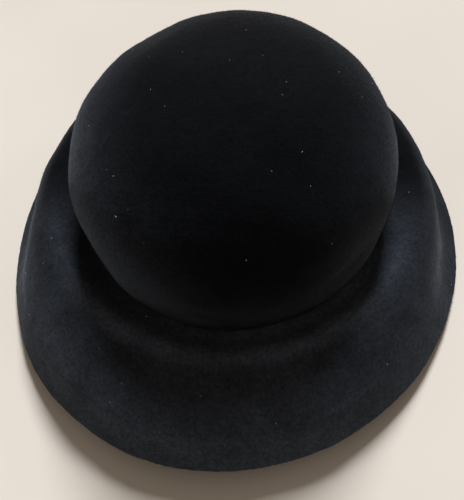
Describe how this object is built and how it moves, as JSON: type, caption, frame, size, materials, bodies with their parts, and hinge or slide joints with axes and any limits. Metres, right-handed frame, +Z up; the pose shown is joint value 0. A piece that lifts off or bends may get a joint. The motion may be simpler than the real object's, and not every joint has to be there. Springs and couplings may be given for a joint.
{
  "type": "hat",
  "caption": "Black velour felt hat with a round bowler-like crown and a rolled brim that droops all round and dips long in front.",
  "frame": {"origin": "centre of the hat's footprint, on the plane that the brim's lower edge rests on", "axes": "+Z up through the crown, -Y to the front of the hat, where the brim is longest, +X to the wearer's left"},
  "size_m": [0.2874, 0.3084, 0.1345],
  "materials": {
    "black_velour_felt": "brushed long-pile fur felt with a soft sheen",
    "covered_wire": "cotton-wrapped millinery wire",
    "joiner_steel": "crimped steel tube",
    "black_thread": "twisted sewing thread",
    "black_satin": "satin weave with a soft gloss",
    "piping_satin": "satin-covered cord",
    "black_grosgrain": "ribbed ribbon",
    "tab_ribbon": "off-white woven tape",
    "label_weave": "plain woven, no lettering"
  },
  "bodies": {
    "root": {"felt_crown": "black_velour_felt", "felt_brim": "black_velour_felt", "head_size_wire": "covered_wire", "wire_joiner": "joiner_steel", "collar_stitches": "black_thread", "lining_side": "black_satin", "lining_tip": "black_satin", "lining_piping": "piping_satin", "sweatband": "black_grosgrain", "sweatband_stitches": "black_thread", "sweatband_bow": "black_grosgrain", "sweatband_bow_knot": "black_grosgrain", "size_tab": "tab_ribbon", "blank_label": "label_weave", "label_tacks": "black_thread"}
  },
  "joints": []
}
